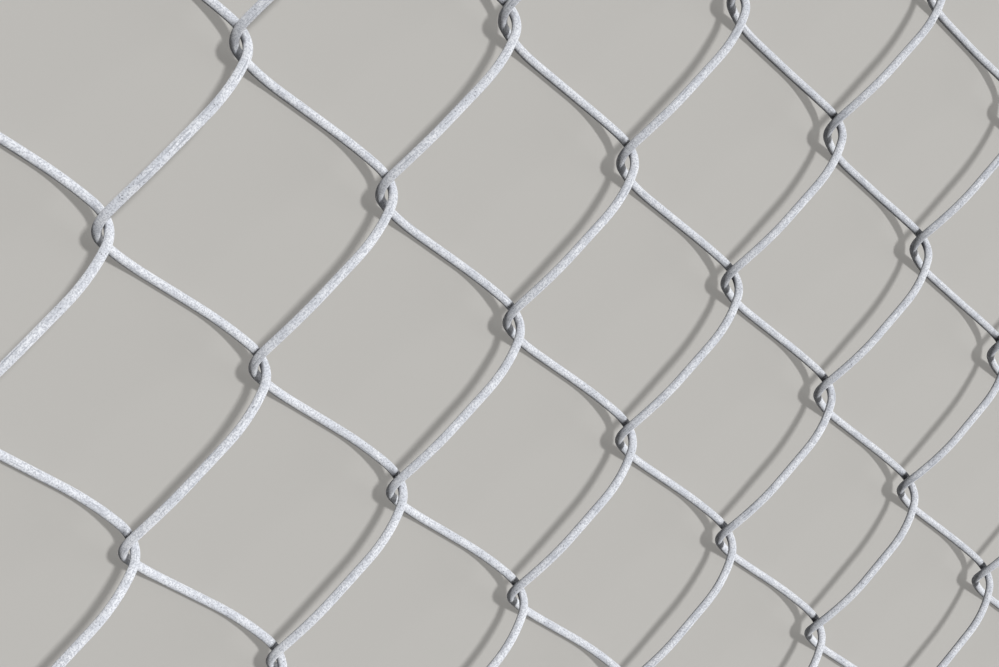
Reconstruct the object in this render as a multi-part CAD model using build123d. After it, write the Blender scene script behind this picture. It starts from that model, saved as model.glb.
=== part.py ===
from build123d import *
import os
from math import atan2, cos, dist, pi, radians, sin, sqrt, tan

# Galvanized chain-link fence fabric, as a short length cut from the roll and laid flat.
# Every picket is one steel wire wound into a flattened spiral that runs up the fence.
# Its bends hook through the bends of the pickets beside it, which makes the diamonds,
# and both of its ends are bent back into closed loops, the knuckled selvage.
#
# X goes across the pickets, Y goes up the fence and Z is the thickness of the fabric.
# The origin is on the ground under the middle of the fabric.

# Driving dimensions, in millimetres and degrees.
wire_diameter = 2.87         # 11 1/2 gauge wire, over its zinc coat
picket_spacing = 43.6        # from the middle of one picket to the middle of the next
turn_height = 95.1           # height of one full turn of a picket
fabric_thickness = 21.2      # over the outside of the flattened spirals
straight_width = 12.4        # straight middle of a stretch, seen along the picket
bend_inner_radius = 4.3      # inside of the bends by which the pickets hook together
bend_climb_gain = 0.28       # how much more steeply the wire climbs in the middle of a bend
knuckle_inner_radius = 3.6   # inside of the closed loop at each end of a wire
knuckle_sweep = 255.0        # how far that loop is bent round
hook_clearance = 0.3         # between hooked wires, at the corners of their section
picket_count = 14
stretch_count = 19           # slanting stretches of wire in one picket

# The round wire is drawn with flat sides, and its curves as straight runs tangent to them.
wire_sides = 6
knuckle_runs = 5

# A section with flat sides has corners outside the round wire of the same area.
wire_radius = wire_diameter / 2
side_angle = 2 * pi / wire_sides
corner_radius = wire_radius * sqrt(side_angle / sin(side_angle))

# Sizes of the wire's centre line. Hooked bends pass each other by a wire and the clearance.
half_depth = fabric_thickness / 2 - wire_radius
bend_radius = bend_inner_radius + wire_radius
knuckle_radius = knuckle_inner_radius + wire_radius
bend_reach = picket_spacing / 2 + corner_radius + hook_clearance / 2
top_tip_height = stretch_count * turn_height / 4

# Seen along the picket, a wide shoulder arc joins each tight bend to the straight middle.
straight_half = straight_width / 2
bend_centre = bend_reach - bend_radius
shoulder_room = bend_centre - straight_half
shoulder_radius = (shoulder_room ** 2 + half_depth ** 2 - bend_radius ** 2) / (2 * (half_depth - bend_radius))
shoulder_angle = atan2(shoulder_room, shoulder_radius - half_depth)
half_bend_angle = pi / 2 - shoulder_angle


def ring_corners():
    """Corners of one turn seen along the picket: from the right-hand bend, front side first."""
    tip_side = bend_radius * tan(half_bend_angle / 2)
    shoulder = straight_half + shoulder_radius * tan(shoulder_angle / 2)
    right = [(bend_reach, tip_side), (shoulder, half_depth)]
    front = right + [(-x, z) for x, z in reversed(right)]
    back = [(-x, -z) for x, z in front]
    return front + back


def climb_rate(ring):
    """Climb for each millimetre of the ring along a stretch, so that a turn comes out right."""
    runs = list(zip(ring, ring[1:] + ring[:1]))
    turn_length = sum(dist(a, b) for a, b in runs)
    turn_depth = sum(abs(b[1] - a[1]) for a, b in runs)
    return turn_height / (turn_length + bend_climb_gain * turn_depth)


def climb(ring, start, end):
    """Climb of the straight run from one point of the ring to another."""
    return climb_rate(ring) * (dist(start, end) + bend_climb_gain * abs(end[1] - start[1]))


def spiral_corners(ring):
    """Corners of the wire from its top right tip down to its bottom tip."""
    corners = []
    height = top_tip_height
    here = (bend_reach, 0)
    for i in range(stretch_count * len(ring) // 2):
        after = ring[i % len(ring)]
        height -= climb(ring, here, after)
        corners.append(Vector(after[0], height, after[1]))
        here = after
    return corners


def knuckle_corners(tip, onward, inward):
    """Corners of the closed loop that a wire makes past its last tip."""
    step = radians(knuckle_sweep) / knuckle_runs
    angles = [(i + 0.5) * step for i in range(knuckle_runs)]
    radii = [knuckle_radius / cos(step / 2)] * knuckle_runs
    angles.append(knuckle_runs * step)
    radii.append(knuckle_radius)
    return [
        tip + inward * (knuckle_radius - radius * cos(angle)) + onward * (radius * sin(angle))
        for angle, radius in zip(angles, radii)
    ]


def picket():
    """One wire: the top loop, the flattened spiral and the bottom loop."""
    ring = ring_corners()
    tip_climb = climb_rate(ring) * (1 + bend_climb_gain)
    bottom_side = 1 if stretch_count % 2 == 0 else -1
    top_tip = Vector(bend_reach, top_tip_height, 0)
    bottom_tip = Vector(bottom_side * bend_reach, -top_tip_height, 0)
    top_onward = Vector(0, tip_climb, -1).normalized()
    bottom_onward = Vector(0, -tip_climb, bottom_side).normalized()
    top_loop = knuckle_corners(top_tip, top_onward, Vector(-1, 0, 0))
    bottom_loop = knuckle_corners(bottom_tip, bottom_onward, Vector(-bottom_side, 0, 0))
    corners = top_loop[::-1] + spiral_corners(ring) + bottom_loop
    section_plane = Plane(origin=corners[0], z_dir=corners[1] - corners[0])
    section = section_plane * RegularPolygon(corner_radius, wire_sides)
    return sweep(section, path=Polyline(*corners), transition=Transition.RIGHT)


def fabric():
    """All pickets by name, from left to right. Every second one is turned front to back."""
    wire = picket()
    turned_wire = Rot(0, 180, 0) * wire
    lowest = min(wire.bounding_box().min.Z, turned_wire.bounding_box().min.Z)
    pickets = {}
    for i in range(picket_count):
        across = (i - (picket_count - 1) / 2) * picket_spacing
        place = Pos(across, 0, -lowest)
        pickets[f"picket_{i + 1:02d}"] = place * (turned_wire if i % 2 else wire)
    return pickets


os.makedirs("parts", exist_ok=True)
for name, shape in fabric().items():
    export_step(shape, f"parts/{name}.step")

half_width = picket_spacing
half_height = turn_height / 2
wire_pitch = 2 * half_width * half_height / sqrt(half_width ** 2 + half_height ** 2)
print(f"clear mesh between parallel wires: {wire_pitch - wire_diameter:.1f} mm")
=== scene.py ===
"""The look of a length of galvanized chain-link fence fabric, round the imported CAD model.

Each picket of the fabric is one wire wound into a flattened spiral. The CAD model draws it with
flat sides, and here it is modelled as the smooth round wire that it is, within half a
millimetre of the same place.
X goes across the pickets, Y goes up the fence and Z is the thickness of the fabric.
"""

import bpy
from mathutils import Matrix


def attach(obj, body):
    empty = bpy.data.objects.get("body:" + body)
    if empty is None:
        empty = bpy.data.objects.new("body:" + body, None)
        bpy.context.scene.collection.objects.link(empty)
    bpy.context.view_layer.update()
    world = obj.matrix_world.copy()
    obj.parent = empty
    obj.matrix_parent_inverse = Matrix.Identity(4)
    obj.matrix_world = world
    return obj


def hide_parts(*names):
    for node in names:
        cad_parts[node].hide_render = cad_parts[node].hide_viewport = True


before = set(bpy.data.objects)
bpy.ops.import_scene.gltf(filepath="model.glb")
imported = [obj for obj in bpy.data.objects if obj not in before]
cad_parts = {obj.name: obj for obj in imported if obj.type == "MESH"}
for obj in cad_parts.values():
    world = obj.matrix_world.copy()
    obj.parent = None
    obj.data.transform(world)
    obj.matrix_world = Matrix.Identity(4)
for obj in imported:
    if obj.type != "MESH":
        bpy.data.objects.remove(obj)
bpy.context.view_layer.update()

import logging
from dataclasses import dataclass
from enum import Enum, IntEnum
from math import atan2, cos, pi, radians, sin

import bmesh
import bpy
from mathutils import Euler, Matrix, Vector

LOG = logging.getLogger("fence_fabric")
MM = 0.001

# The sockets of a Mix node that mixes colours. They go by number, because the node has sockets
# of the same names for every kind of value.
MIX_SHARE, MIX_BELOW, MIX_ABOVE, MIX_RESULT = 0, 6, 7, 2


def linear(code: str) -> tuple[float, float, float, float]:
    """Turns an sRGB hex colour into linear light.

    Args:
        code: the colour, as six hex digits.

    Returns:
        Red, green, blue and an alpha of 1.
    """
    channels = [int(code[i : i + 2], 16) / 255 for i in (0, 2, 4)]
    red, green, blue = (
        c / 12.92 if c <= 0.04045 else ((c + 0.055) / 1.055) ** 2.4 for c in channels
    )
    return red, green, blue, 1.0


def add_node(
    tree: bpy.types.NodeTree,
    kind: str,
    inputs: dict[str | int, object] | None = None,
    **settings: object,
) -> bpy.types.Node:
    """Adds a node to a material or world.

    Args:
        tree: the node tree.
        kind: the node's type.
        inputs: for each input, the value it holds or the output that is linked to it.
        settings: the node's own options.

    Returns:
        The new node.
    """
    node = tree.nodes.new(kind)
    for name, value in settings.items():
        setattr(node, name, value)
    for name, value in (inputs or {}).items():
        if isinstance(value, bpy.types.NodeSocket):
            tree.links.new(value, node.inputs[name])
        else:
            node.inputs[name].default_value = value
    return node


def empty_material(name: str) -> bpy.types.Material:
    """Makes a material with nothing in its node tree.

    Args:
        name: the material's name.

    Returns:
        The material.
    """
    material = bpy.data.materials.new(name)
    material.use_nodes = True
    material.node_tree.nodes.clear()
    return material


def mesh_object(name: str, bm: bmesh.types.BMesh) -> bpy.types.Object:
    """Turns a finished bmesh into an object at the origin and frees the bmesh.

    Args:
        name: the name of the object and of its mesh.
        bm: the finished shape, in its place and in metres.

    Returns:
        The object.
    """
    mesh = bpy.data.meshes.new(name)
    bm.to_mesh(mesh)
    bm.free()
    piece = bpy.data.objects.new(name, mesh)
    bpy.context.scene.collection.objects.link(piece)
    return piece


class Winding(Enum):
    """How a wire lies in the fabric: the value is its turn about Y, in degrees."""

    AS_WOUND = 0
    TURNED_ROUND = 180


class Surface(IntEnum):
    """What a face of a wire is made of: the value is its material slot."""

    ZINC = 0
    CUT_STEEL = 1


@dataclass(frozen=True)
class ZincCoat:
    """Hot-dip galvanized zinc, some years out of doors.

    The bright zinc has dulled to a pale blue grey that is close to matt, with slightly darker
    patches, a fine grain, streaks along the wire from the wiping dies, and dark pits. Inside the
    hooks and loops it is painted dark, partly for dirt where the wires rub and partly as painted
    shade. Lengths are in millimetres. A pair of shares says where in a noise a mark starts to
    show, and where it shows in full.

    Attributes:
        bright: most of the zinc.
        dull: its slightly darker patches.
        speck: the grain of the weathered surface.
        streak: the streaks left by the wiping dies.
        pit: the bottom of the pits.
        grime_and_shade: dirt and painted shade on the inside of the hooks and loops.
        metallic: low, because the zinc lies under its own powdery salts.
        powdery: how evenly those salts scatter the light.
        patch_size: from one patch to the next.
        patch_detail: how many finer layers the patches' noise has.
        streak_width: across one streak.
        streak_length: along one streak.
        grain_size: across one speck. The real grain is finer and wouldn't show.
        fine_detail: how many finer layers the noise of the streaks and the grain has.
        pit_spacing: from one pit to the next.
        relief: depth of the streaks, grain and pits.
        patch_share: where the patches show.
        grain_share: where the grain shows.
        streak_share: where the streaks show.
        pitted_share: in which patches the pits lie.
        pit_rim: from the rim of a pit to its bottom, in pit spacings from its middle.
        grime_and_shade_share: where the dirt and painted shade show.
        wear_share: between which shares the roughness goes from the first to the last one.
        roughness: the smoothest and the roughest zinc.
    """

    bright: str = "EDEFF3"
    dull: str = "E1E4EA"
    speck: str = "C6C9D0"
    streak: str = "B4B8C0"
    pit: str = "74767F"
    # A dark colour for dirt where the wires rub and for painted shade inside the hooks and loops.
    grime_and_shade: str = "46474E"
    metallic: float = 0.07
    powdery: float = 0.9
    patch_size: float = 5.0
    patch_detail: float = 3.0
    streak_width: float = 0.5
    streak_length: float = 9.0
    grain_size: float = 0.5
    fine_detail: float = 2.0
    pit_spacing: float = 1.1
    relief: float = 0.03
    patch_share: tuple[float, float] = (0.42, 0.62)
    grain_share: tuple[float, float] = (0.4, 0.64)
    streak_share: tuple[float, float] = (0.54, 0.78)
    pitted_share: tuple[float, float] = (0.48, 0.58)
    pit_rim: tuple[float, float] = (0.22, 0.08)
    grime_and_shade_share: tuple[float, float] = (0.1, 0.6)
    wear_share: tuple[float, float] = (0.3, 0.7)
    roughness: tuple[float, float] = (0.55, 0.72)

    def material(self) -> bpy.types.Material:
        """Makes the material, which follows the wire by its attributes coat and rub_and_shade.

        Returns:
            The material.
        """
        material = empty_material("hot_dip_galvanized_zinc")
        tree = material.node_tree
        coat = add_node(tree, "ShaderNodeAttribute", attribute_name="coat").outputs["Vector"]
        rub_and_shade = add_node(tree, "ShaderNodeAttribute", attribute_name="rub_and_shade").outputs["Fac"]

        # Three noises, one Voronoi pattern for the pits, and the dirt and painted shade inside
        # the hooks and loops.
        noises = []
        for size, detail in (
            ((self.patch_size,) * 3, self.patch_detail),
            ((self.streak_width, self.streak_width, self.streak_length), self.fine_detail),
            ((self.grain_size,) * 3, self.fine_detail),
        ):
            scaled = add_node(
                tree,
                "ShaderNodeMapping",
                {"Vector": coat, "Scale": tuple(1 / length for length in size)},
            ).outputs["Vector"]
            noise = add_node(
                tree, "ShaderNodeTexNoise", {"Vector": scaled, "Scale": 1.0, "Detail": detail}
            )
            noises.append(noise.outputs["Fac"])
        patches, streaks, grain = noises
        pit_space = add_node(
            tree,
            "ShaderNodeMapping",
            {"Vector": coat, "Scale": (1 / self.pit_spacing,) * 3},
        ).outputs["Vector"]
        pit_distance = add_node(
            tree, "ShaderNodeTexVoronoi", {"Vector": pit_space, "Scale": 1.0}
        ).outputs["Distance"]
        # Painted shade together with dirt: darker on the inside of the hooks and loops, in
        # patches.
        grime_and_shade_mask = add_node(
            tree, "ShaderNodeMath", {0: rub_and_shade, 1: patches}, operation="MULTIPLY"
        ).outputs[0]

        # How strongly each mark shows, and the marks one over the other.
        shown = []
        for value, (starts, full) in (
            (patches, self.patch_share),
            (grain, self.grain_share),
            (streaks, self.streak_share),
            (pit_distance, self.pit_rim),
            (patches, self.pitted_share),
            (grime_and_shade_mask, self.grime_and_shade_share),
        ):
            ramp = add_node(
                tree,
                "ShaderNodeMapRange",
                {"Value": value, "From Min": starts, "From Max": full},
                interpolation_type="SMOOTHSTEP",
            )
            shown.append(ramp.outputs["Result"])
        dulled, specked, streaked, hollow, pitted, grime_and_shade_shown = shown
        pits = add_node(
            tree, "ShaderNodeMath", {0: hollow, 1: pitted}, operation="MULTIPLY"
        ).outputs[0]
        colour = linear(self.bright)
        for share, mark in (
            (dulled, self.dull),
            (specked, self.speck),
            (streaked, self.streak),
            (pits, self.pit),
            (grime_and_shade_shown, self.grime_and_shade),
        ):
            colour = add_node(
                tree,
                "ShaderNodeMix",
                {MIX_SHARE: share, MIX_BELOW: colour, MIX_ABOVE: linear(mark)},
                data_type="RGBA",
            ).outputs[MIX_RESULT]

        roughness = add_node(
            tree,
            "ShaderNodeMapRange",
            {
                "Value": patches,
                "From Min": self.wear_share[0],
                "From Max": self.wear_share[1],
                "To Min": self.roughness[0],
                "To Max": self.roughness[1],
            },
        ).outputs["Result"]
        raised = add_node(
            tree, "ShaderNodeMath", {0: streaks, 1: grain}, operation="ADD"
        ).outputs[0]
        height = add_node(
            tree, "ShaderNodeMath", {0: raised, 1: pits}, operation="SUBTRACT"
        ).outputs[0]
        bump = add_node(
            tree,
            "ShaderNodeBump",
            {"Height": height, "Distance": self.relief * MM, "Strength": 1.0},
        ).outputs["Normal"]
        shader = add_node(
            tree,
            "ShaderNodeBsdfPrincipled",
            {
                "Base Color": colour,
                "Metallic": self.metallic,
                "Roughness": roughness,
                "Diffuse Roughness": self.powdery,
                "Normal": bump,
            },
        ).outputs["BSDF"]
        add_node(tree, "ShaderNodeOutputMaterial", {"Surface": shader})
        return material


@dataclass(frozen=True)
class CutSteel:
    """Bare steel, where the shears cut the coated wire: dark, dull and a little rusty.

    Attributes:
        steel: the cut steel.
        rust: the rust spots.
        rust_size: from one spot to the next, in millimetres.
        rust_detail: how many finer layers the rust's noise has.
        rust_share: where in its noise the rust starts to show, and where it shows in full.
        metallic: lower than clean steel's, for the film of rust.
        roughness: that of torn metal.
    """

    steel: str = "77757A"
    rust: str = "7A5138"
    rust_size: float = 0.8
    rust_detail: float = 3.0
    rust_share: tuple[float, float] = (0.45, 0.6)
    metallic: float = 0.6
    roughness: float = 0.55

    def material(self) -> bpy.types.Material:
        """Makes the material, which follows the wire by its attribute coat.

        Returns:
            The material.
        """
        material = empty_material("bare_shorn_steel")
        tree = material.node_tree
        coat = add_node(tree, "ShaderNodeAttribute", attribute_name="coat").outputs["Vector"]
        scaled = add_node(
            tree,
            "ShaderNodeMapping",
            {"Vector": coat, "Scale": (1 / self.rust_size,) * 3},
        ).outputs["Vector"]
        spots = add_node(
            tree,
            "ShaderNodeTexNoise",
            {"Vector": scaled, "Scale": 1.0, "Detail": self.rust_detail},
        ).outputs["Fac"]
        rusty = add_node(
            tree,
            "ShaderNodeMapRange",
            {"Value": spots, "From Min": self.rust_share[0], "From Max": self.rust_share[1]},
            interpolation_type="SMOOTHSTEP",
        ).outputs["Result"]
        colour = add_node(
            tree,
            "ShaderNodeMix",
            {
                MIX_SHARE: rusty,
                MIX_BELOW: linear(self.steel),
                MIX_ABOVE: linear(self.rust),
            },
            data_type="RGBA",
        ).outputs[MIX_RESULT]
        shader = add_node(
            tree,
            "ShaderNodeBsdfPrincipled",
            {"Base Color": colour, "Metallic": self.metallic, "Roughness": self.roughness},
        ).outputs["BSDF"]
        add_node(tree, "ShaderNodeOutputMaterial", {"Surface": shader})
        return material


@dataclass(frozen=True)
class Station:
    """A place on a wire's centre line, with lengths in millimetres.

    Attributes:
        place: the centre of the wire there.
        along: the direction in which the wire runs.
        hooked: points to the inside of a bend, with a length of 1 at the tip of a hooked
            bend, less in a loop, and 0 outside them.
    """

    place: Vector
    along: Vector
    hooked: Vector


@dataclass(frozen=True)
class SpiralWire:
    """One picket's wire, centred on its own axis, with lengths in millimetres.

    Attributes:
        wire_radius: over the zinc.
        picket_spacing: from the middle of one picket to the middle of the next.
        turn_height: height of one full turn.
        fabric_thickness: over the outside of the flattened spiral.
        straight_half: half of the straight middle of a stretch, seen along the picket.
        bend_inner_radius: inside of the hooked bends.
        bend_climb_gain: how much more steeply the wire climbs in the middle of a bend.
        knuckle_inner_radius: inside of the closed loops.
        knuckle_sweep: how far the loops are bent round, in radians.
        knuckle_rub_and_shade: how much dirt and painted shade a loop takes, where a hooked bend
            is 1.
        hook_gap: between the tips of hooked bends, a hair, so that the loops stay clear too.
        stretch_count: slanting stretches in the wire.
        wire_sides: sides of the round section.
        straight_steps: sections along the straight middle of a stretch.
        shoulder_steps: sections along a wide shoulder.
        bend_steps: sections along half of a bend.
        knuckle_steps: sections along a loop.
        shorn_length: how far the rounded rim of a shorn end goes on past the wire.
        shorn_rim: its steps, each with a share of shorn_length and of the wire's width.
    """

    wire_radius: float = 1.435
    picket_spacing: float = 43.6
    turn_height: float = 95.1
    fabric_thickness: float = 21.2
    straight_half: float = 6.2
    bend_inner_radius: float = 4.3
    bend_climb_gain: float = 0.28
    knuckle_inner_radius: float = 3.6
    knuckle_sweep: float = radians(255.0)
    # Loops take half the dirt and painted shade of a hooked bend.
    knuckle_rub_and_shade: float = 0.5
    hook_gap: float = 0.12
    stretch_count: int = 19
    wire_sides: int = 24
    straight_steps: int = 3
    shoulder_steps: int = 7
    bend_steps: int = 9
    knuckle_steps: int = 24
    shorn_length: float = 0.5
    shorn_rim: tuple[tuple[float, float], ...] = ((0.6, 0.97), (0.3, 0.90), (0.1, 0.78))

    @property
    def half_depth(self) -> float:
        """From the middle of the fabric to the centre line of a stretch."""
        return self.fabric_thickness / 2 - self.wire_radius

    @property
    def bend_radius(self) -> float:
        """Radius of a bend's centre line."""
        return self.bend_inner_radius + self.wire_radius

    @property
    def bend_reach(self) -> float:
        """From the picket's axis to the centre line at the tip of a bend."""
        return (self.picket_spacing + self.hook_gap) / 2 + self.wire_radius

    @property
    def stretch_rise(self) -> float:
        """Height of one stretch, which is half a turn."""
        return self.turn_height / 2

    def stretch(self) -> list[Station]:
        """Follows one stretch, from the tip of a right-hand bend to that of a left-hand one.

        Seen along the picket it is a tight bend, a wide shoulder, a straight middle, and the
        same again. The wire climbs more steeply in the bends than in the straight.

        Returns:
            The stations after the first tip. The first tip is at a height of 0, and the stretch
            runs down from there.
        """
        middle = self.bend_reach - self.bend_radius
        room = middle - self.straight_half
        shoulder_radius = (room**2 + self.half_depth**2 - self.bend_radius**2) / (
            2 * (self.half_depth - self.bend_radius)
        )
        turn = pi / 2 - atan2(room, shoulder_radius - self.half_depth)
        drop = self.half_depth - shoulder_radius
        # The arcs, each with its centre, its radius, the angles at its ends and its steps.
        arcs = [
            (middle, 0.0, self.bend_radius, 0.0, turn, self.bend_steps),
            (self.straight_half, drop, shoulder_radius, turn, pi / 2, self.shoulder_steps),
            (-self.straight_half, drop, shoulder_radius, pi / 2, pi - turn, self.shoulder_steps),
            (-middle, 0.0, self.bend_radius, pi - turn, pi, self.bend_steps),
        ]
        # The points along them, each with the angle there and the length passed.
        flat: list[tuple[float, float, float, float]] = []
        length = 0.0
        for x, z, radius, start, end, steps in arcs:
            for i in range(1, steps + 1):
                angle = start + (end - start) * i / steps
                length += radius * (end - start) / steps
                flat.append((x + radius * cos(angle), z + radius * sin(angle), angle, length))
            if end == pi / 2:
                for i in range(1, self.straight_steps + 1):
                    length += 2 * self.straight_half / self.straight_steps
                    across = self.straight_half * (1 - 2 * i / self.straight_steps)
                    flat.append((across, self.half_depth, pi / 2, length))
        rise = 2 * self.half_depth
        rate = self.stretch_rise / (length + self.bend_climb_gain * rise)
        stations = []
        for x, z, angle, passed in flat:
            depth = z if angle <= pi / 2 else rise - z
            fall = rate * (passed + self.bend_climb_gain * depth)
            steep = rate * (1 + self.bend_climb_gain * abs(cos(angle)))
            along = Vector((-sin(angle), -steep, cos(angle))).normalized()
            to_tip = min(angle, pi - angle)
            grip = cos(to_tip / turn * pi / 2) if to_tip < turn else 0.0
            inside = Vector((-cos(angle), 0.0, -sin(angle))) * grip
            stations.append(Station(Vector((x, -fall, z)), along, inside))
        return stations

    def knuckle(self, tip: Station, onward: Vector, inward: Vector) -> list[Station]:
        """Follows the closed loop that the wire makes past its last tip.

        Args:
            tip: the last tip.
            onward: the direction in which the wire leaves the tip.
            inward: the direction from the tip to the picket's axis.

        Returns:
            The stations after the tip, each with the direction away from the tip.
        """
        radius = self.knuckle_inner_radius + self.wire_radius
        stations = []
        for i in range(1, self.knuckle_steps + 1):
            angle = self.knuckle_sweep * i / self.knuckle_steps
            centre = tip.place + inward * radius
            place = centre + (onward * sin(angle) - inward * cos(angle)) * radius
            along = onward * cos(angle) + inward * sin(angle)
            inside = (centre - place) / radius
            stations.append(Station(place, along, inside * self.knuckle_rub_and_shade))
        return stations

    def stations(self) -> list[Station]:
        """Follows the whole wire.

        Returns:
            The stations, from the shorn end in the top loop to the one in the bottom loop.
        """
        top = self.stretch_count * self.stretch_rise / 2
        stretch = self.stretch()
        steepest = stretch[-1].along.y / abs(stretch[-1].along.z)
        down = Vector((0.0, steepest, 1.0)).normalized()
        inside = Vector((-1.0, 0.0, 0.0))
        first = Station(Vector((self.bend_reach, top, 0.0)), down, inside)
        loop = self.knuckle(first, -down, inside)
        wire = [Station(s.place, -s.along, s.hooked) for s in reversed(loop)] + [first]
        for number in range(self.stretch_count):
            side = Vector((1.0, 1.0, 1.0)) if number % 2 == 0 else Vector((-1.0, 1.0, -1.0))
            start = Vector((0.0, top - number * self.stretch_rise, 0.0))
            for s in stretch:
                wire.append(Station(start + s.place * side, s.along * side, s.hooked * side))
        last = wire[-1]
        inward = Vector((-1.0 if last.place.x > 0 else 1.0, 0.0, 0.0))
        return wire + self.knuckle(last, last.along, inward)

    def build(self) -> bmesh.types.BMesh:
        """Draws the round wire along its centre line, one section after another.

        Returns:
            The closed wire in metres. Its layer coat holds, in millimetres, where each point
            would be if the wire were straightened, and rub_and_shade holds how much dirt and
            painted shade it takes on the inside of the hooks and loops.
        """
        bm = bmesh.new()
        coat = bm.verts.layers.float_vector.new("coat")
        rub_and_shade = bm.verts.layers.float.new("rub_and_shade")
        stations = self.stations()
        here = stations[0]
        facing = Vector((0.0, 0.0, 1.0)).rotation_difference(here.along).to_matrix().to_4x4()
        ring = bmesh.ops.create_circle(
            bm,
            cap_ends=False,
            radius=self.wire_radius * MM,
            segments=self.wire_sides,
            matrix=Matrix.Translation(here.place * MM) @ facing,
        )["verts"]
        for i, vert in enumerate(ring):
            angle = 2 * pi * i / self.wire_sides
            vert[coat] = self.wire_radius * Vector((cos(angle), sin(angle), 0.0))
        first_edges = edges = list(bm.edges)
        for there in stations[1:]:
            edges, verts = self.extrude(bm, edges)
            turn = here.along.rotation_difference(there.along).to_matrix().to_4x4()
            move = (
                Matrix.Translation(there.place * MM) @ turn @ Matrix.Translation(-here.place * MM)
            )
            bmesh.ops.transform(bm, matrix=move, verts=verts)
            step = Vector((0.0, 0.0, (there.place - here.place).length))
            for vert in verts:
                outward = (vert.co / MM - there.place) / self.wire_radius
                vert[coat] += step
                # The inside of each hook and loop is weighted for dirt and painted shade.
                vert[rub_and_shade] = max(0.0, outward.dot(there.hooked))
            here = there
        self.shear(bm, edges, here.place, here.along)
        self.shear(bm, first_edges, stations[0].place, -stations[0].along)
        bmesh.ops.recalc_face_normals(bm, faces=bm.faces)
        return bm

    @staticmethod
    def extrude(
        bm: bmesh.types.BMesh, edges: list[bmesh.types.BMEdge]
    ) -> tuple[list[bmesh.types.BMEdge], list[bmesh.types.BMVert]]:
        """Extrudes a ring of edges.

        Args:
            bm: the wire.
            edges: the ring of edges.

        Returns:
            The new ring's edges and its vertices.
        """
        made = bmesh.ops.extrude_edge_only(bm, edges=edges)["geom"]
        new_edges = [part for part in made if isinstance(part, bmesh.types.BMEdge)]
        new_verts = [part for part in made if isinstance(part, bmesh.types.BMVert)]
        return new_edges, new_verts

    def shear(
        self,
        bm: bmesh.types.BMesh,
        edges: list[bmesh.types.BMEdge],
        place: Vector,
        along: Vector,
    ) -> None:
        """Closes an end of the wire as the shears leave it, with its rim rounded over.

        Args:
            bm: the wire.
            edges: the ring of edges at that end.
            place: the centre of the ring, in millimetres.
            along: the direction out of the wire.
        """
        for advance, width in self.shorn_rim:
            edges, verts = self.extrude(bm, edges)
            centre = sum((vert.co for vert in verts), Vector()) / len(verts)
            around = Matrix.Translation(centre)
            now = (verts[0].co - centre).length / (self.wire_radius * MM)
            shrink = Matrix.Scale(width / now, 4)
            bmesh.ops.transform(bm, matrix=around @ shrink @ around.inverted(), verts=verts)
            bmesh.ops.translate(bm, vec=along * advance * self.shorn_length * MM, verts=verts)
        bmesh.ops.edgeloop_fill(bm, edges=edges, mat_nr=Surface.CUT_STEEL.value)


@dataclass
class FenceFabric:
    """The pickets in their places, with lengths in millimetres.

    Attributes:
        wire: the wire that every picket is made from.
        zinc: the finish of the wire.
        cut_steel: the finish of its shorn ends.
        picket_count: how many pickets hang together.
        slipped: how much lower every second picket hangs.
        coat_offset: how far apart two wires lie in the zinc's pattern, so that they differ.
    """

    wire: SpiralWire
    zinc: bpy.types.Material
    cut_steel: bpy.types.Material
    picket_count: int = 14
    slipped: float = 0.9
    coat_offset: float = 37.0

    def build(self) -> list[bpy.types.Object]:
        """Makes every picket from the same wire. Every second one is turned round.

        Returns:
            The finished wires, from left to right.
        """
        pattern = self.wire.build()
        pieces = []
        for i in range(self.picket_count):
            winding = Winding.TURNED_ROUND if i % 2 else Winding.AS_WOUND
            bm = pattern.copy()
            coat = bm.verts.layers.float_vector["coat"]
            for vert in bm.verts:
                vert[coat] += Vector((self.coat_offset * i, 0.0, 0.0))
            across = (i - (self.picket_count - 1) / 2) * self.wire.picket_spacing
            up = (-self.slipped if i % 2 else self.slipped) / 2
            place = Vector((across, up, self.wire.fabric_thickness / 2)) * MM
            turn = Matrix.Rotation(radians(winding.value), 4, "Y")
            bmesh.ops.transform(bm, matrix=Matrix.Translation(place) @ turn, verts=bm.verts)
            for face in bm.faces:
                face.smooth = face.material_index == Surface.ZINC
            pieces.append(self.dress(mesh_object(f"wire_{i + 1:02d}", bm), i + 1))
        pattern.free()
        return pieces

    def dress(self, piece: bpy.types.Object, number: int) -> bpy.types.Object:
        """Gives a wire its finishes, in the order of Surface, and ties it to the CAD model.

        Args:
            piece: the wire.
            number: its number from the left, where the first is 1.

        Returns:
            The same wire.
        """
        piece.data.materials.append(self.zinc)
        piece.data.materials.append(self.cut_steel)
        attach(piece, "root")
        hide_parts(f"picket_{number:02d}")
        return piece


@dataclass(frozen=True)
class Viewpoint:
    """The camera at the photograph's viewing angle.

    Attributes:
        place: where the camera is, in millimetres.
        turn_deg: how it is turned about X, Y and Z, in degrees.
        lens: its focal length in millimetres, for the sensor.
        sensor: width of the sensor in millimetres.
        near: nothing nearer than this is seen, in millimetres.
    """

    place: tuple[float, float, float] = (-324.74, 182.54, 472.43)
    turn_deg: tuple[float, float, float] = (-16.3735, -31.1142, -1.0218)
    lens: float = 64.204
    sensor: float = 36.0
    near: float = 10.0

    def build(self) -> None:
        """Makes the camera and gives it to the scene."""
        data = bpy.data.cameras.new("camera")
        data.lens = self.lens
        data.sensor_width = self.sensor
        data.clip_start = self.near * MM
        camera = bpy.data.objects.new("camera", data)
        camera.location = Vector(self.place) * MM
        camera.rotation_euler = Euler([radians(angle) for angle in self.turn_deg])
        bpy.context.scene.collection.objects.link(camera)
        bpy.context.scene.camera = camera


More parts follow.
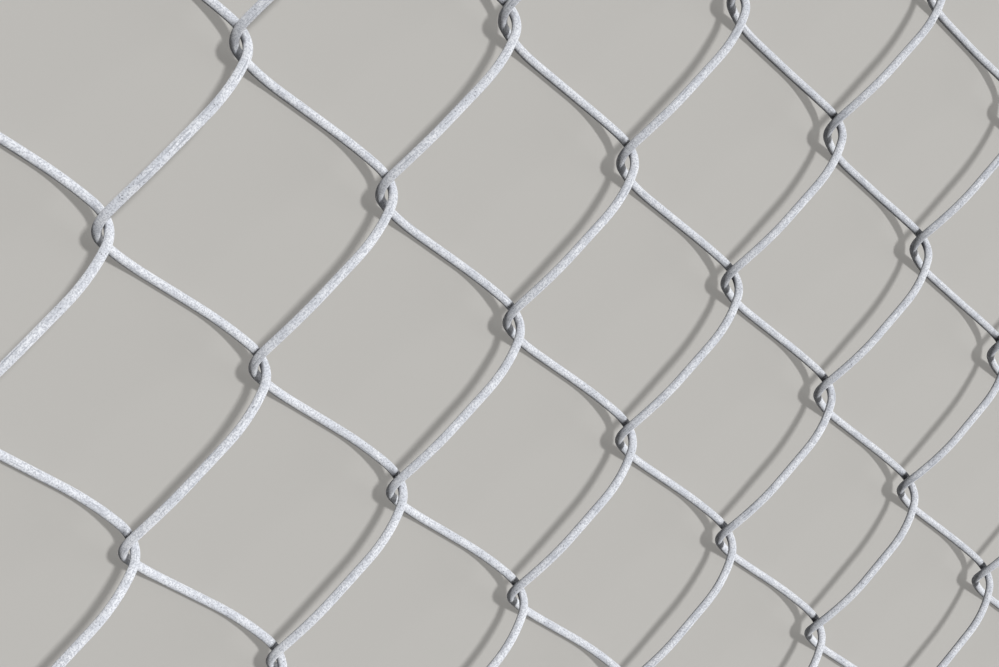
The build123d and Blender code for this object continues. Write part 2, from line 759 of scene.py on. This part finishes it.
@dataclass(frozen=True)
class Studio:
    """A plain pale floor, a main lamp over the top of the fabric and a low one on its right.

    Attributes:
        floor_seen: the floor, as it looks under the lamps.
        floor_bounce: what it throws back at the wires, so dark that their undersides stay dark.
        floor_glow: the share of floor_seen that shows in the shadows too, to soften them.
        backdrop: what is seen beyond the floor.
        floor_radius: in metres.
        floor_sides: sides of its outline.
        floor_roughness: matt.
        key_from: direction from the fabric to the main lamp.
        key_strength: its light, in watts per square metre.
        key_softness_deg: how wide it is seen from the fabric.
        fill_from: direction from the fabric to the low lamp.
        fill_strength: its light, in watts per square metre.
        fill_softness_deg: how wide it is seen from the fabric.
        world_light: the light from all round, where 1 is white.
    """

    floor_seen: str = "BAB8B4"
    floor_bounce: str = "2E2D2C"
    floor_glow: float = 0.45
    backdrop: str = "CAC8C4"
    floor_radius: float = 12.0
    floor_sides: int = 96
    floor_roughness: float = 0.9
    key_from: tuple[float, float, float] = (0.04, 0.48, 0.88)
    key_strength: float = 3.05
    key_softness_deg: float = 6.0
    fill_from: tuple[float, float, float] = (0.92, -0.28, 0.27)
    fill_strength: float = 1.25
    fill_softness_deg: float = 40.0
    world_light: float = 0.03

    @staticmethod
    def seen(tree: bpy.types.NodeTree) -> bpy.types.NodeSocket:
        """Adds the share that is 1 for what the camera, gloss and glass see.

        Args:
            tree: the node tree of a material or world.

        Returns:
            The share, which is 0 for light that bounces.
        """
        path = add_node(tree, "ShaderNodeLightPath").outputs
        either = add_node(
            tree,
            "ShaderNodeMath",
            {0: path["Is Camera Ray"], 1: path["Is Glossy Ray"]},
            operation="MAXIMUM",
        ).outputs[0]
        return add_node(
            tree,
            "ShaderNodeMath",
            {0: either, 1: path["Is Transmission Ray"]},
            operation="MAXIMUM",
        ).outputs[0]

    def floor(self) -> None:
        """Makes the floor that the fabric lies on."""
        bm = bmesh.new()
        bmesh.ops.create_circle(
            bm, cap_ends=True, radius=self.floor_radius, segments=self.floor_sides
        )
        floor = mesh_object("studio_floor", bm)
        material = empty_material("matt_studio_floor")
        tree = material.node_tree
        seen = self.seen(tree)
        red, green, blue, alpha = linear(self.floor_seen)
        shaded = 1 - self.floor_glow
        paint = (red * shaded, green * shaded, blue * shaded, alpha)
        colour = add_node(
            tree,
            "ShaderNodeMix",
            {MIX_SHARE: seen, MIX_BELOW: linear(self.floor_bounce), MIX_ABOVE: paint},
            data_type="RGBA",
        ).outputs[MIX_RESULT]
        glow = add_node(
            tree, "ShaderNodeMath", {0: seen, 1: self.floor_glow}, operation="MULTIPLY"
        ).outputs[0]
        shader = add_node(
            tree,
            "ShaderNodeBsdfPrincipled",
            {
                "Base Color": colour,
                "Roughness": self.floor_roughness,
                "Emission Color": (red, green, blue, alpha),
                "Emission Strength": glow,
            },
        ).outputs["BSDF"]
        add_node(tree, "ShaderNodeOutputMaterial", {"Surface": shader})
        floor.data.materials.append(material)

    @staticmethod
    def lamp(
        name: str, source: tuple[float, float, float], strength: float, softness_deg: float
    ) -> None:
        """Makes a distant soft lamp.

        Args:
            name: the lamp's name.
            source: the direction from the fabric to the lamp.
            strength: its light, in watts per square metre.
            softness_deg: how wide it is seen from the fabric, in degrees.
        """
        data = bpy.data.lights.new(name, "SUN")
        data.energy = strength
        data.angle = radians(softness_deg)
        lamp = bpy.data.objects.new(name, data)
        lamp.rotation_euler = Vector(source).to_track_quat("Z", "Y").to_euler()
        bpy.context.scene.collection.objects.link(lamp)

    def surroundings(self) -> None:
        """Makes the pale backdrop and its weak light."""
        world = bpy.data.worlds.new("pale_backdrop")
        world.use_nodes = True
        tree = world.node_tree
        tree.nodes.clear()
        light = (self.world_light,) * 3 + (1.0,)
        colour = add_node(
            tree,
            "ShaderNodeMix",
            {
                MIX_SHARE: self.seen(tree),
                MIX_BELOW: light,
                MIX_ABOVE: linear(self.backdrop),
            },
            data_type="RGBA",
        ).outputs[MIX_RESULT]
        background = add_node(
            tree, "ShaderNodeBackground", {"Color": colour}
        ).outputs["Background"]
        add_node(tree, "ShaderNodeOutputWorld", {"Surface": background})
        bpy.context.scene.world = world

    def build(self) -> None:
        """Makes the floor, the lamps and the backdrop."""
        self.floor()
        self.lamp("key_lamp", self.key_from, self.key_strength, self.key_softness_deg)
        self.lamp("fill_lamp", self.fill_from, self.fill_strength, self.fill_softness_deg)
        self.surroundings()


def main() -> None:
    """Builds the camera, the fabric and the studio, and logs how many faces each wire has."""
    logging.basicConfig(level=logging.INFO, format="%(name)s: %(message)s")
    bpy.context.scene.view_settings.view_transform = "Standard"
    Viewpoint().build()
    fabric = FenceFabric(SpiralWire(), ZincCoat().material(), CutSteel().material())
    for piece in fabric.build():
        LOG.info("%s has %d faces", piece.name, len(piece.data.polygons))
    Studio().build()


if __name__ == "__main__":
    main()
